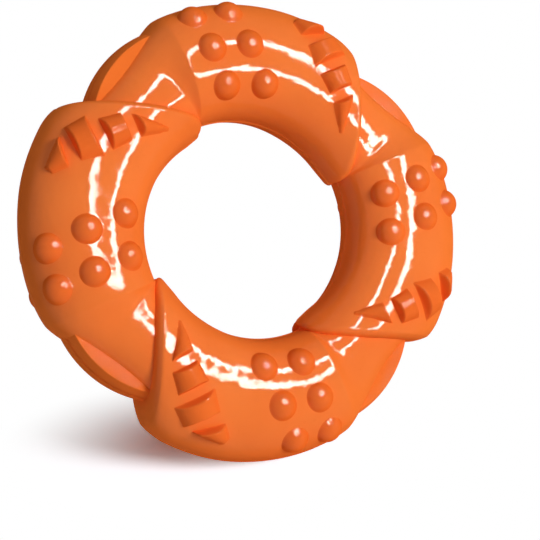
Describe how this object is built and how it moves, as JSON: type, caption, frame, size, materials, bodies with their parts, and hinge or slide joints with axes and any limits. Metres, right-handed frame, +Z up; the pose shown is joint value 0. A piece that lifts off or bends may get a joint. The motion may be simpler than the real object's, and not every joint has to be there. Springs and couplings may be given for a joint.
{
  "type": "rubber ring chew toy",
  "caption": "Solid rubber chew ring for a dog, made of overlapping pinwheel segments with domed nubs, ridges of cut blocks and grooved flanges at the necks.",
  "frame": {"origin": "centre of the ring, on the surface that the lying toy rests on", "axes": "+Z up along the ring's axis; -X towards the middle of the first segment, -Y towards the fourth, with the heads following one another clockwise seen from above"},
  "size_m": [0.1296, 0.1296, 0.0346],
  "materials": {
    "rubber_body": "gloss",
    "rubber_flange": "gloss",
    "rubber_nub": "gloss",
    "rubber_ridge": "gloss"
  },
  "bodies": {
    "root": {"segment_1": "rubber_body", "segment_2": "rubber_body", "segment_3": "rubber_body", "segment_4": "rubber_body", "neck_flange_1": "rubber_flange", "neck_flange_2": "rubber_flange", "neck_flange_3": "rubber_flange", "neck_flange_4": "rubber_flange", "front_nubs_1": "rubber_nub", "front_nubs_2": "rubber_nub", "front_nubs_3": "rubber_nub", "front_nubs_4": "rubber_nub", "rear_nubs_1": "rubber_nub", "rear_nubs_2": "rubber_nub", "rear_nubs_3": "rubber_nub", "rear_nubs_4": "rubber_nub", "front_ridge_1": "rubber_ridge", "front_ridge_2": "rubber_ridge", "front_ridge_3": "rubber_ridge", "front_ridge_4": "rubber_ridge", "rear_ridge_1": "rubber_ridge", "rear_ridge_2": "rubber_ridge", "rear_ridge_3": "rubber_ridge", "rear_ridge_4": "rubber_ridge"}
  },
  "joints": []
}
